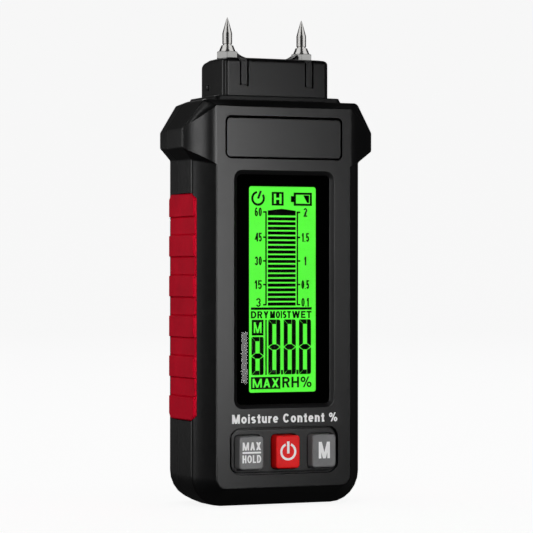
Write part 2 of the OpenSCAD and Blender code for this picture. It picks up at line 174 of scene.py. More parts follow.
def box_skin(name, x0, x1, d0, d1, z0, z1, reach=0.05):
    """Upright block: a rounded rectangle in plan between two heights."""
    plan = rounded_outline([(x0, d0), (x1, d0), (x1, d1), (x0, d1)], reach)
    return skin(name, [at_height(plan, z0), at_height(plan, z1)])


def join_shapes(piece, operation, *tools):
    """Adds or cuts closed skins one after another, and leaves plain mesh data on the piece."""
    for tool in tools:
        step = piece.modifiers.new("shape", "BOOLEAN")
        step.operation, step.object, step.solver = operation, tool, "MANIFOLD"
        result = bpy.data.meshes.new_from_object(piece.evaluated_get(bpy.context.evaluated_depsgraph_get()))
        piece.modifiers.clear()
        before, piece.data = piece.data, result
        bpy.data.meshes.remove(before)
        bpy.data.meshes.remove(tool.data)
    return piece


def smooth(piece, angle=32.0):
    """Smooth shading with edges over `angle` kept sharp, and normals weighted by face area so that
    flats stay flat."""
    mesh = piece.data
    mesh.polygons.foreach_set("use_smooth", np.ones(len(mesh.polygons), bool))
    mesh.set_sharp_from_angle(angle=math.radians(angle))
    weighted = piece.modifiers.new("even normals", "WEIGHTED_NORMAL")
    weighted.keep_sharp = True
    return piece


def new_group(name, inputs, outputs):
    """Empty shader group with its sockets, and its input and output nodes."""
    tree = bpy.data.node_groups.new(name, "ShaderNodeTree")
    for label, kind, value in inputs:
        socket = tree.interface.new_socket(label, in_out="INPUT", socket_type=kind)
        socket.default_value = value
    for label, kind in outputs:
        tree.interface.new_socket(label, in_out="OUTPUT", socket_type=kind)
    return tree, tree.nodes.new("NodeGroupInput"), tree.nodes.new("NodeGroupOutput")


def node(tree, kind, settings=None, **values):
    """A node with its settings and its unlinked inputs; a value that is a socket is linked."""
    made = tree.nodes.new(kind)
    for key, value in (settings or {}).items():
        setattr(made, key, value)
    for key, value in values.items():
        key = int(key[1:]) if key[0] == "i" and key[1:].isdigit() else key.replace("_", " ")
        if isinstance(value, bpy.types.NodeSocket):
            tree.links.new(value, made.inputs[key])
        else:
            made.inputs[key].default_value = value
    return made


def moulded_grain():
    """Spark-eroded mould texture: fine grain for the height, and slow clouds that shift the colour and
    the gloss a little."""
    tree, given, out = new_group(
        "moulded grain",
        [("Colour", "NodeSocketColor", (0.5, 0.5, 0.5, 1)), ("Tone", "NodeSocketFloat", 0.2),
         ("Roughness", "NodeSocketFloat", 0.5), ("Gloss change", "NodeSocketFloat", 0.1),
         ("Grain", "NodeSocketFloat", 2200.0)],
        [("Colour", "NodeSocketColor"), ("Roughness", "NodeSocketFloat"), ("Height", "NodeSocketFloat")])
    place = tree.nodes.new("ShaderNodeTexCoord").outputs["Object"]
    fine = node(tree, "ShaderNodeTexNoise", Vector=place, Scale=given.outputs["Grain"], Detail=3.0, Roughness=0.6)
    cloud = node(tree, "ShaderNodeTexNoise", Vector=place, Scale=95.0, Detail=4.0, Roughness=0.55)
    scuff = node(tree, "ShaderNodeTexNoise", Vector=place, Scale=420.0, Detail=2.0, Distortion=1.5)
    spread = node(tree, "ShaderNodeMapRange", Value=cloud.outputs["Fac"], i1=0.3, i2=0.7, i3=-1.0, i4=1.0)
    speck = node(tree, "ShaderNodeMapRange", Value=fine.outputs["Fac"], i1=0.35, i2=0.65, i3=-0.4, i4=0.4)
    both = node(tree, "ShaderNodeMath", {"operation": "ADD"}, i0=spread.outputs[0], i1=speck.outputs[0])
    tone = node(tree, "ShaderNodeMath", {"operation": "MULTIPLY_ADD"}, i0=both.outputs[0],
                i1=given.outputs["Tone"], i2=1.0)
    tint = node(tree, "ShaderNodeVectorMath", {"operation": "SCALE"}, i0=given.outputs["Colour"], Scale=tone.outputs[0])
    sway = node(tree, "ShaderNodeMath", {"operation": "SUBTRACT"}, i0=scuff.outputs["Fac"], i1=0.5)
    gloss = node(tree, "ShaderNodeMath", {"operation": "MULTIPLY_ADD"}, i0=sway.outputs[0],
                 i1=given.outputs["Gloss change"], i2=given.outputs["Roughness"])
    tree.links.new(tint.outputs[0], out.inputs["Colour"])
    tree.links.new(gloss.outputs[0], out.inputs["Roughness"])
    tree.links.new(fine.outputs["Fac"], out.inputs["Height"])
    return tree


grain_group = moulded_grain()


def moulded(name, colour, roughness, specular=0.3, tone=0.12, change=0.12, grain=2200.0, bump=0.012, **sockets):
    """Moulded plastic or rubber: the grain group drives colour, roughness and a bump `bump` millimetres
    high."""
    material = bpy.data.materials.new(name)
    material.use_nodes = True
    tree = material.node_tree
    shader = tree.nodes["Principled BSDF"]
    part = node(tree, "ShaderNodeGroup", {"node_tree": grain_group}, Colour=tuple(colour) + (1.0,), Tone=tone,
                Roughness=roughness, Gloss_change=change, Grain=grain)
    relief = node(tree, "ShaderNodeBump", Height=part.outputs["Height"], Strength=1.0, Distance=bump * MM)
    tree.links.new(part.outputs["Colour"], shader.inputs["Base Color"])
    tree.links.new(part.outputs["Roughness"], shader.inputs["Roughness"])
    tree.links.new(relief.outputs["Normal"], shader.inputs["Normal"])
    shader.inputs["Specular IOR Level"].default_value = specular
    for key, value in sockets.items():
        shader.inputs[key.replace("_", " ")].default_value = value
    return material


def dress(piece, material):
    """Gives the piece this one material."""
    piece.data.materials.clear()
    piece.data.materials.append(material)
    return piece


def casing_border(share):
    """Rows of the sloping border between the panel's edge P and the outer edge O at shares s of the
    way: the point is P + (O - P)s, and the depth is the border's depth times s + s(1 - s)/4, a shallow
    hollow, on the body, and an S curve that leaves the panel level on the shoulders."""
    s = np.asarray(share, float)
    hollow = s + 0.25 * s * (1 - s)
    flow = 0.85 * (3 * s ** 2 - 2 * s ** 3) + 0.15 * s ** 2
    place = panel_line + (outer_line - panel_line) * s[..., None]
    return at_depth(place, border_line * ((1 - shoulder_line) * hollow + shoulder_line * flow))


def bend(a, b, c, steps):
    """Points of a quadratic curve from a to c that is pulled towards b, as rows."""
    t = np.linspace(0, 1, steps)[:, None, None]
    return (1 - t) ** 2 * a + 2 * t * (1 - t) * b + t ** 2 * c


def drawn_in(inset):
    """The housing's outer outline with its sides moved inwards, a number or one per corner."""
    corners = inset_corners(both_sides(body_corners), inset)
    return rounded_outline(corners, np.maximum(both_sides(body_reach) - 0.6 * np.asarray(inset), 0.4))


panel_line = rounded_outline(both_sides(panel_corners), both_sides(panel_reach))
outer_line = rounded_outline(both_sides(body_corners), both_sides(body_reach))
border_line = along_outline(both_sides(border_depth))
shoulder_line = along_outline(both_sides(shoulder_share))
run = np.linalg.norm(outer_line - panel_line, axis=1)
panel_round, edge_round = 0.35, 0.55
grip_front, grip_back = {-1: 5.92, 1: 7.75}, 27.58
inner_edge = panel_line - (outer_line - panel_line) / run[:, None] * panel_round
panel_rim = bend(at_depth(inner_edge, 0.0), at_depth(panel_line, 0.0), casing_border(panel_round / run), 5)
across = np.linspace(0, 1, 13)[1:-1, None]
slope = casing_border(across * (1 - edge_round / run) + (1 - across) * panel_round / run)
outer_rim = bend(casing_border(1 - edge_round / run), casing_border(np.ones_like(run)),
                 at_depth(outer_line, border_line + edge_round), 6)
crease_depth = 18.2
front_casing = skin("front_shell", np.concatenate([
    panel_rim, slope, outer_rim,
    at_depth(outer_line, 13.0)[None], at_depth(outer_line, crease_depth)[None],
    at_depth(drawn_in(0.08), split_depth - 0.2)[None], at_depth(drawn_in(0.3), split_depth)[None]]))


def ledge(name, d0, d1, reaches):
    """Half of the ledge under the pin head: its plan narrows slightly upwards and ends in a small round."""
    rows = []
    for grow, z in ((0.9, 133.4), (0.75, 135.0), (0.15, 136.1), (0.05, 136.45), (-0.2, 136.6)):
        front, back = (d0 - 0.3 * grow, d1) if d0 < split_depth else (d0, d1 + 0.3 * grow)
        half = 22.7 + grow
        plan = [(-half, front), (half, front), (half, back), (-half, back)]
        rows.append(at_height(rounded_outline(plan, reaches), z))
    return skin(name, rows)


def grip_seat(name, side):
    """Cutter for the seat of one side grip: the grip's side-view outline, with cut corners, carried
    outwards."""
    d0, d1, z0, z1, cut_d, cut_z = grip_front[side] - 0.2, grip_back + 0.15, 28.35, 104.15, 1.5, 1.9
    view = [(d0 + cut_d, z0), (d1 - cut_d, z0), (d1, z0 + cut_z), (d1, z1 - cut_z), (d1 - cut_d, z1), (d0 + cut_d, z1),
            (d0, z1 - cut_z), (d0, z0 + cut_z)]
    line = rounded_outline(view, 0.3)
    return skin(name, [np.stack([np.full(len(line), side * x), line[:, 0], line[:, 1]], -1) for x in (29.05, 38.0)])


join_shapes(front_casing, "UNION", ledge("front_ledge", 4.5, split_depth, [2.0, 2.0, 0.05, 0.05]))
hollow_line = rectangle(-28.3, 28.3, 2.3, 130.5, 8.0)
front_hollow = skin("front_hollow", [at_depth(rectangle(-24.0, 24.0, 8.2, 128.0, 2.0), 3.8),
                                     at_depth(hollow_line, 9.0), at_depth(hollow_line, 21.0)])
lens_front = 1.0
window_rim = [(1.55, -1.0), (1.55, -0.02), (1.35, 0.04), (0.1, 0.78), (0.0, 0.92), (0.0, 6.0)]
key_places = {"max_hold": -13.2, "power": 0.0, "mode": 13.2}
key_hole = (4.65, 12.3, 23.9, 1.4)


def at_key(x, grow=0.0):
    """Outline of the opening for the key at x, let out all round by `grow`."""
    half, z0, z1, reach = key_hole
    return rectangle(x - half, x + half, z0, z1, reach, grow)


def neck_hole():
    """Cutter for the opening in the top that the pin head's neck goes through."""
    return box_skin("neck_hole", -17.1, 17.1, 7.7, 25.9, 129.0, 139.0)


join_shapes(front_casing, "DIFFERENCE", front_hollow, neck_hole(),
            skin("window_hole", [at_depth(rectangle(-16.85, 16.85, 33.9, 110.3, 1.6, g), d)
                                 for g, d in window_rim]),
            skin("lens_seat", [at_depth(rectangle(-19.1, 19.1, 31.3, 113.3, 1.0), d)
                               for d in (lens_front, 6.0)]),
            flared_cutter("plate_recess", -21.35, 21.35, 115.45, 129.7, 2.0, 2.4, 0.08),
            flared_cutter("keypad_recess", -19.6, 19.6, 10.7, 26.1, 3.5, 1.9, 0.28),
            grip_seat("seat_cut_left", -1), grip_seat("seat_cut_right", 1),
            *[skin("key_hole", [at_depth(at_key(x), d) for d in (1.0, 6.0)]) for x in key_places.values()])
smooth(dress(front_casing, moulded("charcoal ABS", charcoal, 0.34, specular=0.4)))
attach(front_casing, "casing")
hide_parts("front_casing")

# ----------------------------------------------------------------- rear casing
# The rear half of the housing: a black ABS tub that meets the front half in a fine
# groove, rounds off to a flat back, and holds the battery bay, the hinge slots of
# the door and four counterbored screw holes.
black_plastic = moulded("black ABS", (0.0032, 0.0032, 0.0034), 0.4, specular=0.3)
rear_inset = np.array([0.8, 0.85, 1.2, 1.2, 0.7])
back_inset = np.array([2.6, 2.8, 3.6, 3.6, 3.0])
rear_rows = [at_depth(drawn_in(0.3), split_depth), at_depth(drawn_in(0.1), split_depth + 0.2)]
for a in np.linspace(0, math.pi / 2, 8):
    inset = rear_inset + (back_inset - rear_inset) * (1 - math.cos(a))
    rear_rows.append(at_depth(drawn_in(both_sides(inset)), 28.0 + 2.2 * math.sin(a)))
rear_casing = skin("rear_shell", rear_rows)
join_shapes(rear_casing, "UNION", ledge("rear_ledge", split_depth, 29.1, [0.05, 0.05, 2.0, 2.0]))
join_shapes(rear_casing, "DIFFERENCE", skin("rear_hollow", [
    at_depth(hollow_line, 19.0), at_depth(rectangle(-28.0, 28.0, 2.6, 130.5, 8.0), 25.0),
    at_depth(rectangle(-25.0, 25.0, 5.6, 128.0, 5.5), 27.8)]))


def round_bar(name, x, z, profile):
    """Turned shape along the depth at one place of the front view, from (radius, depth) pairs."""
    a = np.linspace(0, 2 * math.pi, 49)[:-1]
    r, d = np.array(profile, float).T
    return skin(name, np.stack([x + r[:, None] * np.cos(a), np.broadcast_to(d[:, None], (len(d), 48)),
                                z + r[:, None] * np.sin(a)], -1))


screw_places = [(s * 24.0, z) for s in (-1, 1) for z in (12.0, 121.0)]
join_shapes(rear_casing, "UNION", box_skin("bay_block", -20.2, 20.2, 15.4, 28.0, 26.0, 86.8),
            *[round_bar("screw_post", x, z, [(4, 19.75), (4, 28.0)]) for x, z in screw_places])
dish = [(0.01, 29.15), (2.2, 29.22), (4.0, 29.45), (5.2, 29.8), (5.9, 30.2), (6.1, 30.6), (6.1, 31.0)]
counterbore = [(1.5, 18.5), (1.5, 23.8), (2.8, 23.8), (2.8, 29.95), (3.1, 30.22), (3.1, 32.0)]
join_shapes(rear_casing, "DIFFERENCE", neck_hole(),
            grip_seat("seat_cut_left", -1), grip_seat("seat_cut_right", 1),
            skin("bay_hole", [at_depth(rectangle(-17.6, 17.6, 31.0, 81.6, 0.6), d) for d in (17.0, 32.0)]),
            skin("door_hole", [at_depth(rectangle(-19.0, 19.0, 26.8, 85.3, 2.0, g), d)
                               for g, d in ((0, 27.8), (0, 29.95), (0.25, 30.22), (0.25, 32.0))]),
            box_skin("hinge_relief", -19.0, 19.0, 27.8, 32.0, 26.8, 32.0),
            box_skin("hinge_slot", -20.0, 20.0, 28.4, 29.8, 27.5, 28.9),
            round_bar("thumb_dish", 0.0, 86.0, dish),
            *[round_bar("screw_hole", x, z, counterbore) for x, z in screw_places])
smooth(dress(rear_casing, black_plastic))
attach(rear_casing, "casing")
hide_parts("rear_casing")

# -------------------------------------------------------------------- pin head
# The block on top that carries both electrodes: black ABS, clamped on the ledge,
# with rounded corners, two ribs on its front and a ridge between the nuts.
head_front, head_back, head_half, head_top = 6.3, 27.3, 19.3, 149.7
level_share = 0.62


def head_row(inset, z_front, z_back):
    """Plan outline of the pin head drawn in by `inset`. It lies at the front's height as far as
    `level_share` of the way back, then moves to the back's height with the square of the distance."""
    x, d0, d1 = head_half - inset, head_front + inset, head_back - inset
    plan = rounded_outline([(-x, d0), (x, d0), (x, d1), (-x, d1)], max(1.8 - 0.5 * inset, 0.4))
    share = (plan[:, 1] - head_front) / (head_back - head_front)
    fall = np.clip((share - level_share) / (1 - level_share), 0, 1) ** 2
    return at_height(plan, z_front + (z_back - z_front) * fall)


head_rows = [head_row(0.25, 136.62, 136.62), head_row(0.0, 136.9, 136.9), head_row(0.0, 142.0, 142.0)]
head_rows += [head_row(1.5 * (1 - math.cos(a)), 148.0 + 1.5 * math.sin(a), 146.3 + 2.0 * math.sin(a))
              for a in np.linspace(0, math.pi / 2, 6)]
head_rows += [head_row(2.6, head_top - 0.02, 149.0), head_row(4.5, head_top, 149.5),
              head_row(6.5, head_top, head_top)]
pin_head = skin("pin_block", head_rows)
# The ridge rises towards each nut as an exponential of the distance from its end.
ridge_half = 11.0
ridge_x = np.linspace(-ridge_half, ridge_half, 67)
ridge_z = head_top + 0.05 + 2.3 * np.exp(-((ridge_half - np.abs(ridge_x)) / 2.4))
ridge_foot = [(ridge_half, 148.6), (-ridge_half, 148.6)]
ridge_line = np.concatenate([np.stack([ridge_x, ridge_z], 1), ridge_foot])
ridge_rows = ((0.9, 14.0), (0.25, 14.4), (0.0, 15.0), (0.0, 18.6), (0.25, 19.2), (0.9, 19.6))
ridge = skin("pin_ridge", [at_depth(ridge_line - np.array([0, drop]), d) for drop, d in ridge_rows])
join_shapes(pin_head, "UNION", ridge, box_skin("pin_neck", -17.0, 17.0, 7.8, 25.8, 131.9, 137.5))
rib_rows = ((-0.15, head_front), (-0.04, 6.36), (0.0, 6.5), (0.0, 9.0))
bump_r = np.array([1.3, 1.25, 0.95, 0.5, 0.02])[:, None]
bump_out = np.array([-1.0, 0.0, 0.35, 0.55, 0.6])[:, None]
a = np.linspace(0, 2 * math.pi, 25)[:-1]
for side in (-1, 1):
    x = side * 11.9
    groove = skin("rib_groove", [at_depth(rectangle(x - 1.62, x + 1.62, 139.85, 151.5, 0.5), d)
                                 for d in (5.0, 7.6)])
    rib = skin("rib", [at_depth(rectangle(x - 1.12, x + 1.12, 140.4, 148.6, 0.3, g), d) for g, d in rib_rows])
    bump_x = side * (head_half + bump_out) + 0 * a
    snap_bump = skin("snap_bump", np.stack([bump_x, 20.2 + bump_r * np.cos(a), 140.2 + bump_r * np.sin(a)], -1))
    join_shapes(pin_head, "DIFFERENCE", groove)
    join_shapes(pin_head, "UNION", rib, snap_bump)
head_plastic = moulded("black ABS, pin head", (0.003, 0.003, 0.0032), 0.36, specular=0.26)
smooth(dress(pin_head, head_plastic))
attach(pin_head, "casing")
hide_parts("pin_head")

# ------------------------------------------------------------------ name plate
# A thin charcoal plate in its recess above the display, left blank. Behind the fine gap
# around it lies a black sheet, painted shade that makes the gap show as a dark line.
plate_rows = [(0.0, 1.0), (0.0, 0.3), (-0.05, 0.16), (-0.18, 0.1)]
name_plate = skin("plate", [at_depth(rectangle(-20.75, 20.75, 116.05, 128.95, 1.4, g), d)
                            for g, d in plate_rows])
smooth(dress(name_plate, moulded("charcoal plate", (0.0032, 0.0032, 0.0034), 0.34, specular=0.4,
                                 grain=2600.0)))
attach(name_plate, "casing")
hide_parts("name_plate")
# Painted shade: a matte black sheet that fills the recess behind the plate, so the gap around it reads as a dark shadow
# line.
gap_shade_sheet = skin("plate_gap_shade", [at_depth(rectangle(-21.25, 21.25, 115.55, 129.6, 1.9), d) for d in (2.38, 1.02)])
smooth(dress(gap_shade_sheet, moulded("black sheet, painted shade in plate gap", (0.001, 0.001, 0.001), 0.9, specular=0.0, grain=2200.0,
                           bump=0.02)))
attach(gap_shade_sheet, "casing")

# --------------------------------------------------------------------- display
# A liquid-crystal glass lit green from behind. Its printed black frame lies right
# behind a clear acrylic lens, and every mark on it is a dark segment.


def lit_glass(name, colour, strength):
    """Backlit glass: emission in the display's colour, a little brighter in soft patches."""
    material = bpy.data.materials.new(name)
    material.use_nodes = True
    tree = material.node_tree
    shader = tree.nodes["Principled BSDF"]
    place = tree.nodes.new("ShaderNodeTexCoord").outputs["Object"]
    patch = node(tree, "ShaderNodeTexNoise", Vector=place, Scale=55.0, Detail=2.0)
    fade = node(tree, "ShaderNodeMapRange", Value=patch.outputs["Fac"], i1=0.3, i2=0.7, i3=0.9, i4=1.06)
    glow = node(tree, "ShaderNodeVectorMath", {"operation": "SCALE"}, i0=colour, Scale=fade.outputs[0])
    tree.links.new(glow.outputs[0], shader.inputs["Emission Color"])
    shader.inputs["Emission Strength"].default_value = strength
    shader.inputs["Base Color"].default_value = (0.01, 0.06, 0.01, 1)
    shader.inputs["Roughness"].default_value = 0.35
    shader.inputs["Specular IOR Level"].default_value = 0.1
    return material


lcd_light = lit_glass("lit display glass", (0.1, 0.98, 0.045), 0.96)
dress(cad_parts["lcd_panel"], lcd_light)
mask_ink = moulded("black printed frame", (0.003, 0.003, 0.003), 0.35, specular=0.1, tone=0.1, change=0.05,
                   bump=0.002)
dress(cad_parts["window_mask"], mask_ink)


def prism(outline, d0, d1):
    """Points and faces of a flat shape between two depths."""
    line = np.asarray(outline, float)
    return np.stack([at_depth(line, d0), at_depth(line, d1)]).reshape(-1, 3), ring_faces(2, len(line))


def arc_band(x, z, r0, r1, a0, a1):
    """Outline of a band of a ring between two radii and two angles in degrees, anticlockwise from +X."""
    a = np.radians(np.linspace(a0, a1, 40))
    ring = np.stack([np.cos(a), np.sin(a)], 1)
    return np.concatenate([ring * r1, ring[::-1] * r0]) + (x, z)


def bar(x0, x1, z0, z1):
    """Outline of a plain bar."""
    return [(x0, z0), (x1, z0), (x1, z1), (x0, z1)]


def slant(x0, x1, z0, z1, w):
    """Outline of a slanted stroke with level ends, w wide, between two points."""
    return [(x0 - w / 2, z0), (x0 + w / 2, z0), (x1 + w / 2, z1), (x1 - w / 2, z1)]


def bow(x, z, rx, rz, a0, a1, t, b):
    """Outlines of a band of an ellipse between two angles in degrees, t thick at the sides and b thick
    above and below, cut into pieces of a half turn at most."""
    cuts = np.linspace(a0, a1, 2 + int((a1 - a0 - 1e-6) // 180))
    shapes = []
    for start, end in zip(cuts[:-1], cuts[1:]):
        a = np.radians(np.linspace(start, end, 17))
        ring = np.stack([np.cos(a), np.sin(a)], 1)
        shapes.append(np.concatenate([ring * (rx, rz), ring[::-1] * (rx - t, rz - b)]) + (x, z))
    return shapes


def glyph(sign, w, h, t):
    """Outlines of one sign of a plain bold alphabet in a box w wide and h high, from bars, slanted bars
    and bows."""
    b, low, m = 0.9 * t, 0.76 * h, w / 2
    r = (h + b) / 4

    def pair(x0, x1, z0, z1, wide):
        """A slanted stroke and its mirror image."""
        return [slant(x0, x1, z0, z1, wide), slant(w - x0, w - x1, z0, z1, wide)]

    def tall(*angles):
        """Bow as wide and high as a capital."""
        return bow(m, h / 2, m, h / 2, *angles, t, b)

    def small(*angles):
        """Bow as wide and high as a small letter."""
        return bow(m, low / 2, m, low / 2, *angles, t, b)

    stem, far_stem, head, foot = bar(0, t, 0, h), bar(w - t, w, 0, h), bar(0, w, h - b, h), bar(0, w, 0, b)
    curl = (low + b) / 4
    dot = 0.72 * t
    drawings = {
        " ": [], ".": [bar(0, w, 0, t)], "I": [bar(0, w, 0, h)],
        "i": [bar(0, w, 0, low), bar(0, w, h - b, h)],
        "0": tall(0, 360), "O": tall(0, 360), "o": small(0, 360), "C": tall(36, 324),
        "1": [far_stem, [(0, 0.62 * h), (w - t / 2, 0.76 * h), (w - t / 2, h), (w - t, h), (0, 0.8 * h)]],
        "2": bow(m, h - r, m, r, -25, 165, t, b) + [foot, slant(0.7 * t, w - 0.8 * t, 0, h - 1.25 * r, 1.3 * t)],
        "3": bow(m, h - r, m, r, -90, 170, t, b) + bow(m, r, m, r, -170, 90, t, b),
        "4": [bar(0.6 * w, 0.6 * w + t, 0, h), bar(0, w, 0.2 * h, 0.2 * h + b),
              slant(t / 2, 0.6 * w + t / 2, 0.2 * h, h, t)],
        "5": [bar(0.05 * w, 0.95 * w, h - b, h), bar(0.05 * w, 0.05 * w + t, 0.42 * h, h)]
             + bow(m, 0.33 * h, m, 0.33 * h, -155, 130, t, b),
        "6": bow(m, 0.32 * h, m, 0.32 * h, 0, 360, t, b) + tall(50, 205),
        "A": pair(0.6 * t, m, 0, h, 1.15 * t) + [bar(0.25 * w, 0.75 * w, 0.22 * h, 0.22 * h + b)],
        "D": [stem, bar(0, 0.5 * w, h - b, h), bar(0, 0.5 * w, 0, b)]
             + bow(0.45 * w, h / 2, 0.55 * w, h / 2, -90, 90, t, b),
        "E": [stem, head, foot, bar(0, 0.9 * w, (h - b) / 2, (h + b) / 2)],
        "H": [stem, far_stem, bar(0, w, (h - b) / 2, (h + b) / 2)], "L": [stem, foot],
        "M": [stem, far_stem] + pair(0.6 * t, m, h, 0, 1.15 * t),
        "R": [stem, bar(0, 0.55 * w, h - b, h), bar(0, 0.55 * w, h - 2 * r, h - 2 * r + b),
              slant(w - 0.6 * t, 0.5 * w, 0, h - 2 * r + b, 1.15 * t)]
             + bow(0.5 * w, h - r, 0.48 * w, r, -90, 90, t, b),
        "S": bow(m, h - r, m, r, 35, 270, t, b) + bow(m, r, m, r, -145, 90, t, b),
        "T": [head, bar(m - t / 2, m + t / 2, 0, h)],
        "W": pair(0.6 * t, 0.28 * w, h, 0, 1.1 * t) + pair(m, 0.28 * w, h, 0, 1.1 * t),
        "X": pair(0.65 * t, w - 0.65 * t, 0, h, 1.3 * t),
        "Y": [bar(m - t / 2, m + t / 2, 0, 0.45 * h)] + pair(0.6 * t, m, h, 0.38 * h, 1.15 * t),
        "%": bow(0.22 * w, 0.74 * h, 0.22 * w, 0.26 * h, 0, 360, dot, dot)
             + bow(0.78 * w, 0.26 * h, 0.22 * w, 0.26 * h, 0, 360, dot, dot)
             + [slant(0.28 * w, 0.72 * w, 0, h, 0.75 * t)],
        "e": small(0, 318) + [bar(0.5 * t, w - 0.2 * t, (low - 0.8 * b) / 2, (low + 0.8 * b) / 2)],
        "n": [bar(0, t, 0, low), bar(w - t, w, 0, low - m)] + bow(m, low - m, m, m, 0, 180, t, b),
        "r": [bar(0, t, 0, low)] + bow(w, 0.56 * low, w - 0.1 * t, 0.44 * low, 90, 168, t, b),
        "s": bow(m, low - curl, m, curl, 35, 270, t, b) + bow(m, curl, m, curl, -145, 90, t, b),
        "t": [bar(0.25 * w, 0.25 * w + t, 0, 0.95 * h), bar(0, w, low - b, low), bar(0.25 * w, w, 0, b)],
        "u": [bar(w - t, w, 0, low), bar(0, t, m, low)] + bow(m, m, m, m, 180, 360, t, b)}
    return drawings[sign]


sign_gap = 0.14
sign_widths = {".": 0.17, "I": 0.18, "i": 0.18, " ": 0.22, "1": 0.34, "t": 0.34, "r": 0.36, "s": 0.48,
               "L": 0.5, "n": 0.52, "u": 0.52, "e": 0.54, "E": 0.56, "o": 0.56, "D": 0.64, "C": 0.66,
               "O": 0.7, "M": 0.8, "%": 0.88, "W": 1.0}


def lettering(text, x0, x1, z0, z1, depth, thickness, stroke):
    """Shapes of a line of lettering that fills the box x0..x1 by z0..z1: the signs' own widths and
    equal gaps share the length, and the ink stands `thickness` out in front of a depth. Each stroke of
    a sign is a hair lower than the one before, so that no two strokes share a face where they cross."""
    widths = np.array([sign_widths.get(sign, 0.6) for sign in text])
    unit = (x1 - x0) / (widths.sum() + sign_gap * (len(text) - 1))
    starts = x0 + unit * (np.cumsum(widths) - widths + sign_gap * np.arange(len(text)))
    return [prism(np.array(line) + (start, z0), depth - thickness * (1 - 0.06 * k), depth)
            for sign, start, width in zip(text, starts, widths * unit)
            for k, line in enumerate(glyph(sign, width, z1 - z0, min(stroke, 0.99 * width)))]


def digit(x0, x1, z0, z1, t, gap=0.12):
    """The seven segments of one figure in a box: mitred bars of thickness t with fine gaps, and a
    pointed middle bar."""
    m, w, b = (z0 + z1) / 2, 0.62 * t, 1.05 * t
    top = [(x0 + gap, z1), (x1 - t - gap, z1), (x1 - t - gap, z1 - b), (x0 + t + gap, z1 - b)]
    left = [(x0, z1 - gap), (x0, m + gap * 2), (x0 + t, m + w + gap * 1.6), (x0 + t, z1 - t)]
    right = [(x1 - t, z1), (x1 - t * 0.45, z1), (x1 - t * 0.12, z1 - t * 0.12), (x1, z1 - t * 0.45), (x1, m + gap * 2),
             (x1 - t, m + w + gap * 1.6)]
    middle = [(x0 + gap * 2, m), (x0 + t, m - w), (x1 - t, m - w), (x1 - gap * 2, m), (x1 - t, m + w),
              (x0 + t, m + w)]
    upper = [np.array(s) for s in (top, left, right)]
    return upper + [s * (1, -1) + (0, 2 * m) for s in upper] + [np.array(middle)]


# The marks are set out from the lower left corner of the lit area: the signs along
# the top, the bar graph between its two scales, and the reading with its words.
ink_front, ink_back = 2.04, 2.1
u, v = -12.2, 37.8


def bars(*sides):
    """Outlines of plain bars given by their sides x0, x1, z0 and z1 on the lit area."""
    return [bar(u + x0, u + x1, v + z0, v + z1) for x0, x1, z0, z1 in sides]


def shape(*corners):
    """Outline of a polygon on the lit area."""
    return [(u + x, v + z) for x, z in corners]


flat = [arc_band(u + 3.36, v + 64.6, 1.72, 2.45, 100, 250),
        arc_band(u + 3.36, v + 64.6, 1.72, 2.45, 250, 395),
        shape((3.0, 64.6), (3.75, 64.45), (4.7, 67.0), (4.0, 67.15)),
        shape((21.3, 63.3), (22.0, 63.3), (22.0, 65.8), (19.9, 65.8)),
        shape((6.9, 59.0), (17.05, 59.0), (17.05, 60.6), (12.0, 61.2), (6.9, 60.6))]
flat += bars((8.35, 12.65, 62.3, 66.8), (15.35, 16.5, 63.5, 65.5), (16.4, 17.15, 62.3, 66.7),
             (22.3, 23.05, 62.3, 66.7), (17.05, 22.35, 62.3, 63.0), (17.05, 22.35, 66.0, 66.7))
flat += bars(*[(6.9, 17.05, 57.32 - 1.58 * k, 58.38 - 1.58 * k) for k in range(19)])
scale_z = [60.1, 51.7, 43.8, 35.9, 29.2]
flat += bars((6.0, 6.5, 29.0, 60.35), (17.45, 17.95, 29.0, 60.35))
flat += bars(*[(x0, x1, z - 0.26, z + 0.26) for z in scale_z for x0, x1 in ((5.2, 6.2), (17.75, 18.75))])
flat += bars((0.75, 22.95, 27.5, 28.3), (1.1, 5.3, 19.0, 24.2), (6.0, 6.5, 5.8, 24.2),
             (0.8, 11.45, 1.1, 5.15), (11.7, 12.45, 5.9, 7.4), (17.35, 18.1, 5.9, 7.4))
flat += digit(u + 1.0, u + 5.35, v + 5.8, v + 18.5, 1.4)
for x0, x1 in ((7.1, 11.45), (12.7, 17.1), (18.3, 22.7)):
    flat += digit(u + x0, u + x1, v + 5.9, v + 24.25, 1.45)
marks = [prism(line, ink_front, ink_back) for line in flat]
label_z = scale_z[:-1] + [29.95]
left_labels = (("60", 2.2, 4.7), ("45", 2.2, 4.7), ("30", 2.2, 4.7), ("15", 2.2, 4.7), ("3", 2.65, 4.3))
right_labels = (("2", 20.0, 21.3), ("1.5", 19.4, 22.0), ("1", 20.3, 20.95), ("0.5", 19.2, 22.0),
                ("0.1", 19.2, 21.9))
words = [(*label, z - 1.45, z + 1.45, 0.48) for labels in (left_labels, right_labels)
         for label, z in zip(labels, label_z)]
words += [("DRY", 0.8, 7.15, 24.7, 27.05, 0.54), ("MOIST", 7.75, 15.3, 24.7, 27.05, 0.54),
          ("WET", 15.75, 22.85, 24.7, 27.05, 0.54), ("RH%", 12.2, 22.9, 1.5, 5.05, 0.7)]
lit_words = [("H", 9.1, 11.9, 62.9, 66.2, 0.8), ("M", 1.8, 4.6, 19.8, 23.4, 0.52),
             ("MAX", 1.4, 10.85, 1.65, 4.6, 0.56)]


def on_glass(lines, depth, thickness):
    """Shapes of lines of lettering on the lit area, each given by its text, box and stroke."""
    return [made for text, x0, x1, z0, z1, stroke in lines
            for made in lettering(text, u + x0, u + x1, v + z0, v + z1, depth, thickness, stroke)]


